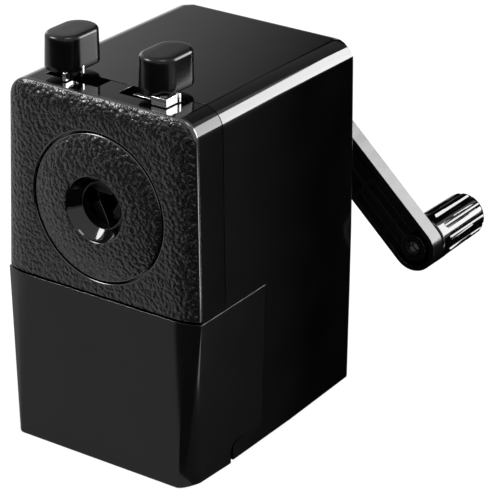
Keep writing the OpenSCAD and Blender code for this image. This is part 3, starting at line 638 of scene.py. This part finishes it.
FLUTES, FLUTE_R, FLUTE_START = 12, 1.15, 5.5
FLUTE_OUT = 0.2                      # the flutes' axes lie this far outside the knob
KNOB_FRONT, KNOB_END = 0.6, 2.5      # radii of the front and the rear edge
KNOB_TAPER = 0.4                     # how much slimmer the knob is at the rear
KNOB_BORE = 2.25                     # the radius of the pin's bore
KNOB_CUP, CUP_D, CUP_EDGE = 3.7, 3.4, 0.3    # the radius, depth and edge of the cup round the pin's head
knob_x, knob_z = middle("crank_knob", 0), middle("crank_knob", 2)
knob_front, knob_back = span("crank_knob", 1)
knob_r = (span("crank_knob", 0)[1] - span("crank_knob", 0)[0]) / 2


def knob_radius(turn, along):
    """The knob's radius at an angle and a distance from its front end, with the flutes cut in."""
    length = knob_back - knob_front
    plain = knob_r - KNOB_TAPER * along / length
    plain -= KNOB_FRONT * (1 - math.sqrt(1 - max(0, 1 - along / KNOB_FRONT) ** 2))
    over = max(0, along - (length - KNOB_END))
    plain -= KNOB_END - math.sqrt(max(0, KNOB_END ** 2 - over ** 2))
    pitch = 2 * math.pi / FLUTES
    off = (turn / pitch - 0.5) % 1 * pitch
    off = min(off, pitch - off)
    centre = knob_r + FLUTE_OUT
    reach = FLUTE_R ** 2 - max(0, FLUTE_START - along) ** 2 - (centre * math.sin(off)) ** 2
    if reach <= 0:
        return plain
    return min(plain, centre * math.cos(off) - math.sqrt(reach))


def knob():
    """The fluted knob, with its bore and the cup in its rear end."""
    length = knob_back - knob_front
    stations = [KNOB_FRONT * (1 - math.cos(math.radians(18 * i))) for i in range(6)]
    plain_end = FLUTE_START - 1.5
    stations += [1 + (plain_end - 1) * i / 6 for i in range(7)]
    stations += [FLUTE_START - FLUTE_R * math.cos(math.radians(10 * i)) for i in range(1, 10)]
    stations += [FLUTE_START + (length - KNOB_END - FLUTE_START) * i / 16 for i in range(1, 17)]
    stations += [length - KNOB_END + KNOB_END * math.sin(math.radians(11 * i)) for i in range(1, 9)]
    turns = [2 * math.pi * k / 240 for k in range(240)]

    def ring(radius, along):
        """One ring; radius is a number or a function of the angle and the distance along."""
        sized = [(t, radius if isinstance(radius, (int, float)) else radius(t, along)) for t in turns]
        return [place(knob_x + r * math.cos(t), knob_front + along, knob_z + r * math.sin(t))
                for t, r in sized]

    rings = [ring(KNOB_BORE, length - CUP_D), ring(KNOB_BORE, 0)]
    rings += [ring(knob_radius, s) for s in stations]
    rings += [ring(KNOB_CUP + CUP_EDGE, length), ring(KNOB_CUP, length - CUP_EDGE)]
    rings += [ring(KNOB_CUP, length - CUP_D)]
    return loft(rings + rings[:1], start=False, end=False)


new_piece("knob_fluted", *knob(), "knob", "gloss_black", ["crank_knob"], 40)


# ---- springs ----

ROD_R = 2                            # the guide rods' radius
RETURN_SPRING = {"radius": 3.0, "wire": 0.45, "turns": 16}
LEVER_SPRING = {"radius": 1.7, "wire": 0.35, "turns": 6}


def coil(name, centre, axis, length, body, node, radius, wire, turns):
    """A round-wire spring along an axis (0 x, 1 depth), ground flat at both ends."""
    steps = turns * 24
    rings = []
    for i in range(steps + 1):
        share = i / steps
        ground = min(1, share * turns, (1 - share) * turns)
        along = -length / 2 + wire + (length - 2 * wire) * share
        t = 2 * math.pi * i / 24
        ring = []
        for k in range(10):
            b = 2 * math.pi * k / 10
            r = radius + wire * math.cos(b)
            u, v, w = along + wire * math.sin(b) * ground ** 0.1, r * math.cos(t), r * math.sin(t)
            shift = (u, v, w) if axis == 0 else (v, u, w)
            ring.append(place(*(c + s for c, s in zip(centre, shift))))
        rings.append(ring)
    return new_piece(name, *loft(rings), body, "bright_steel", [node] if node else [], 60)


rod_x, rod_z = span("guide_rods", 0)[1] - ROD_R, middle("guide_rods", 2)
spring_front, spring_back = span("return_springs", 1)
for side, name, node in ((1, "return_spring_right", "return_springs"), (-1, "return_spring_left", None)):
    spring = coil(name, (side * rod_x, (spring_front + spring_back) / 2, rod_z), 1,
                  spring_back - spring_front, "housing", node, **RETURN_SPRING)
    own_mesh(spring)

pinch_spring = coil("lever_spring_coil", (0, middle("lever_spring", 1), middle("lever_spring", 2)), 0,
                    span("lever_spring", 0)[1] * 2, "carriage", "lever_spring", **LEVER_SPRING)
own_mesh(pinch_spring)


# ---- screw heads ----

HOUSING_HEAD = (2.2, 1.6)            # radius and height
HUB_HEAD = (3.8, 2.2)
CROSS_W, CROSS_L = 0.17, 0.58        # half width and half length of the cross, as shares of the radius
SKIRT = 0.35                         # share of the height below the dome, and below the cross
LAND_R, LAND_H = 0.62, 0.97          # where the dome ends, as shares of the radius and the height


def cross_radius(turn, half_w, half_l):
    """Distance from the centre to the edge of a cross-shaped recess in a direction."""
    off = abs((turn + math.pi / 4) % (math.pi / 2) - math.pi / 4)
    if math.tan(off) * half_l <= half_w:
        return half_l / math.cos(off)
    return half_w / math.sin(off)


def screw_head(centre, out, radius, height):
    """Vertices and faces of a domed head with a cross recess; centre is on its seat."""
    side = Vector((0, 0, 1)) if abs(out.z) < 0.5 else Vector((1, 0, 0))
    across = out.cross(side)
    half_w, half_l = radius * CROSS_W, radius * CROSS_L
    corner = math.atan(half_w / half_l)
    turns = []
    for q in range(4):
        turns += [q * math.pi / 2 + t for t in (-corner, -corner / 2, 0, corner / 2, corner, corner * 1.4,
                                                math.pi / 4, math.pi / 2 - corner * 1.4)]

    def ring(r, h):
        """r is a radius, or None for the recess's edge."""
        sized = [(t, cross_radius(t, half_w, half_l) if r is None else r) for t in turns]
        return [centre + (side * math.cos(t) * s + across * math.sin(t) * s + out * h) * MM
                for t, s in sized]

    dome = [ring(radius * c, height * (SKIRT + (1 - SKIRT) * s)) for c, s in arc(0, 0, 1, 0, 60, 6)]
    rings = [ring(radius, 0)] + dome
    rings += [ring(radius * LAND_R, height * LAND_H), ring(None, height * LAND_H)]
    rings += [ring(None, height * SKIRT)]
    return loft(rings)


def screws(name, places, out, radius, height, body, node):
    """One piece with a head at each place, all facing out."""
    verts, faces = [], []
    for centre in places:
        v, f = screw_head(centre, Vector(out), radius, height)
        faces += [tuple(i + len(verts) for i in face) for face in f]
        verts += v
    return new_piece(name, verts, faces, body, "dark_steel", [node] if node else [], 30)


flange_back = span("housing_screws", 1)[1]
ring_x = span("housing_screws", 0)[1] - HOUSING_HEAD[0]
screws("housing_screw_heads",
       [place(sx * ring_x, flange_back - HOUSING_HEAD[1], axis_z + sz * ring_x)
        for sx in (1, -1) for sz in (1, -1)],
       (0, 1, 0), *HOUSING_HEAD, "housing", "housing_screws")
screws("hub_screw_head", [place(0, span("crank_screw", 1)[1] - HUB_HEAD[1], axis_z)],
       (0, 1, 0), *HUB_HEAD, "crank", "crank_screw")


# ---- floor, cards and light ----

FLOOR = 4                            # half the floor's side, in metres
PAPER = 0.8                          # the floor's tone to light that scatters
FILL = 0.4                           # the world's light on the object, where 1 is white
LOW, MID, HIGH, TOP = 0.0004, 0.0006, 0.0008, 0.001    # heights of cards that lie over each other


def most_of(tree, *sources):
    """The larger of two node outputs."""
    most = tree.nodes.new("ShaderNodeMath")
    most.operation = "MAXIMUM"
    for i, (node, output) in enumerate(sources):
        link(tree, node, output, most, i)
    return most


def stage_material(name, shown, mirrored):
    """Pale matt paper, white with a faint shadow to the camera and darker in reflections.

    shown and mirrored are each how much light it scatters back and how much it gives off itself.
    """
    material = bpy.data.materials.new(name)
    material.use_nodes = True
    tree = material.node_tree
    tree.nodes.clear()
    path = tree.nodes.new("ShaderNodeLightPath")

    def matt(tone):
        surface = tree.nodes.new("ShaderNodeBsdfDiffuse")
        surface.inputs["Color"].default_value = (tone, tone, tone, 1)
        return surface

    def lit(tone, glow):
        both = tree.nodes.new("ShaderNodeAddShader")
        white = tree.nodes.new("ShaderNodeEmission")
        white.inputs["Strength"].default_value = glow
        link(tree, matt(tone), "BSDF", both, 0)
        link(tree, white, "Emission", both, 1)
        return both

    def mixed(share, output, first, second):
        mix = tree.nodes.new("ShaderNodeMixShader")
        link(tree, share, output, mix, 0)
        tree.links.new(first.outputs[0], mix.inputs[1])
        tree.links.new(second.outputs[0], mix.inputs[2])
        return mix

    bounce = most_of(tree, (path, "Is Glossy Ray"), (path, "Is Transmission Ray"))
    reflected = mixed(bounce, 0, matt(PAPER), lit(*mirrored))
    out = tree.nodes.new("ShaderNodeOutputMaterial")
    link(tree, mixed(path, "Is Camera Ray", reflected, lit(*shown)), "Shader", out, "Surface")
    return material


def sheet(name, corners):
    """A flat stage sheet through its corners, in metres."""
    mesh = bpy.data.meshes.new(name)
    mesh.from_pydata(corners, [], [tuple(range(len(corners)))])
    piece = bpy.data.objects.new(name, mesh)
    bpy.context.scene.collection.objects.link(piece)
    piece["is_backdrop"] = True
    return piece


floor = sheet("floor", [(-FLOOR, -FLOOR, 0), (FLOOR, -FLOOR, 0), (FLOOR, FLOOR, 0), (-FLOOR, FLOOR, 0)])
floor.data.materials.append(stage_material("floor_paper", shown=(0.14, 0.9), mirrored=(0.2, 0.4)))


def card(name, corners, glow, slope=(0, 0, 0)):
    """A card that only reflections see: its glow changes across it by slope, per metre."""
    piece = sheet(name, corners)
    for ray in ("visible_camera", "visible_diffuse", "visible_shadow", "visible_transmission"):
        setattr(piece, ray, False)
    material = bpy.data.materials.new(name)
    material.use_nodes = True
    tree = material.node_tree
    tree.nodes.clear()
    where = tree.nodes.new("ShaderNodeTexCoord")
    along = tree.nodes.new("ShaderNodeVectorMath")
    along.operation = "DOT_PRODUCT"
    along.inputs[1].default_value = slope
    link(tree, where, "Object", along, "Vector")
    total = tree.nodes.new("ShaderNodeMath")
    total.operation = "ADD"
    total.inputs[1].default_value = glow
    tree.links.new(along.outputs["Value"], total.inputs[0])
    least = tree.nodes.new("ShaderNodeMath")
    least.operation = "MAXIMUM"
    least.inputs[1].default_value = 0
    link(tree, total, 0, least, 0)
    light = tree.nodes.new("ShaderNodeEmission")
    link(tree, least, 0, light, "Strength")
    out = tree.nodes.new("ShaderNodeOutputMaterial")
    link(tree, light, "Emission", out, "Surface")
    piece.data.materials.append(material)
    return piece


def level(height, *outline):
    """Corners of a card that lies level, from its height and its (x, y) outline, in metres."""
    return [(x, y, height) for x, y in outline]


def upright(y, x0, x1, z0, z1):
    """Corners of a card that stands across the view at a y, in metres."""
    return [(x0, y, z0), (x1, y, z0), (x1, y, z1), (x0, y, z1)]


# Black paper on the table and a dark wall before the object keep its faces dark. Two lit strips draw
# the light line down its front right edges, and grey sweeps behind it tone its top.
card("black_paper_right", level(LOW, (0.0365, -0.3), (0.7, -0.3), (0.7, 0.9), (0.02, 0.9), (0.02, -0.03),
                                (0.0365, -0.044)), -0.04, (1.9, -1.25, 0))
card("black_paper_front", level(LOW, (-0.7, -0.9), (0.2, -0.9), (0.2, -0.25), (-0.7, -0.25)), 0.05)
card("black_paper_corner", level(MID, (0.03, -0.055), (-0.4, -0.77), (0.6, -0.77), (0.6, -0.05),
                                 (0.0365, -0.05)), 0.02)
card("lit_strip_near", level(HIGH, (0.0895, -0.0363), (0.159, -0.0266), (0.137, 0.0277),
                             (0.08, -0.0125)), 4)
card("lit_strip_far", level(TOP, (0.1614, 0.0163), (0.29, 0.079), (0.245, 0.145), (0.1366, 0.0524)), 8)
card("black_backdrop_front", upright(-1.15, -1.6, 0.5, 0.01, 0.45), 0.1)
card("grey_sweep", upright(0.55, -1.3, 0.12, 0.01, 1.0), -0.232, (-3.1, 0, -1.765))
card("grey_sweep_high", upright(0.545, -0.3, 0.2, 0.41, 0.8), 0.22)


def softbox(name, at, towards, width, height, radiance):
    """A rectangular lamp; radiance is how bright it looks from the front."""
    data = bpy.data.lights.new(name, "AREA")
    data.shape = "RECTANGLE"
    data.size, data.size_y = width, height
    data.energy = radiance * math.pi * width * height
    lamp = bpy.data.objects.new(name, data)
    bpy.context.scene.collection.objects.link(lamp)
    aim = (Vector(towards) - Vector(at)).normalized()
    lamp.location = at
    lamp.rotation_euler = aim.to_track_quat("-Z", "Y").to_euler()
    return lamp


softbox("softbox_back_right", (0.36, 0.5, 0.27), (0.03, 0, 0.1), 0.34, 0.36, 14)
softbox("softbox_front_left", (-0.55, -0.4, 0.76), (0, 0, 0.09), 0.36, 0.34, 22)
softbox("softbox_top", (0.27, -0.1, 0.95), (0, 0, 0.1), 0.32, 0.32, 7)


def light_world():
    """White to the camera, in reflections and through glass, and a plain grey fill for the rest."""
    world = bpy.data.worlds.new("studio")
    bpy.context.scene.world = world
    world.use_nodes = True
    tree = world.node_tree
    shade = tree.nodes["Background"]
    path = tree.nodes.new("ShaderNodeLightPath")
    seen = most_of(tree, (path, "Is Camera Ray"), (path, "Is Glossy Ray"))
    bright = most_of(tree, (seen, 0), (path, "Is Transmission Ray"))
    fit = ramp(tree, bright, 0, FILL, 1.0, 0.0, 1.0)
    link(tree, fit, "Color", shade, "Color")


light_world()
bpy.context.scene.view_settings.view_transform = "Standard"


# ---- where things show in the image ----

def measure_points():
    """Works out where each thing shows in the image, in pixels."""
    graph = bpy.context.evaluated_depsgraph_get()

    def shown_vertices(piece, pick=None):
        """A piece's finished vertices that pick chooses, as they show."""
        done = piece.evaluated_get(graph)
        mesh = done.to_mesh()
        places = [done.matrix_world @ v.co for v in mesh.vertices]
        done.to_mesh_clear()
        return [project(p) for p in places if pick is None or pick(p)]

    def centre(name, pick=None):
        """The middle of a piece's vertices that pick chooses."""
        us, vs = zip(*shown_vertices(bpy.data.objects[name], pick))
        return (min(us) + max(us)) / 2, (min(vs) + max(vs)) / 2

    def round_hole(radius):
        """Picks the points of the disc's face that lie on a circle round its middle."""
        near, face_back = 0.0002, -0.043
        return lambda p: (abs(math.hypot(p.x, p.z - axis_z * MM) - radius * MM) < near
                          and p.y < face_back)

    every = [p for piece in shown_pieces() for p in shown_vertices(piece)]
    xs, ys = zip(*every)
    shown = {
        "object_left_x": min(xs),
        "object_right_x": max(xs),
        "object_top_y": min(ys),
        "object_bottom_y": max(ys),
        "plate_bottom_corner": project(place(plate_half, CROWN_D, plate_low)),
        "seam_foot": project(place(span("carriage_shell", 0)[1], span("carriage_shell", 1)[1],
                                   span("carriage_shell", 2)[0])),
        "panel_top_rear": project(place(span("drawer", 0)[1], PANEL_REAR, drawer_top)),
        "mouth": centre("port_disc_domed", round_hole(MOUTH_R)),
        "disc": centre("port_disc_domed", round_hole(DISC_R)),
        "cap_left": centre("cap_left_moulded"),
        "cap_right": centre("cap_right_moulded"),
        "arm_boss": project(place(knob_x, span("crank_arm", 1)[1] - BOSS_BACK, knob_z)),
    }


measure_points()
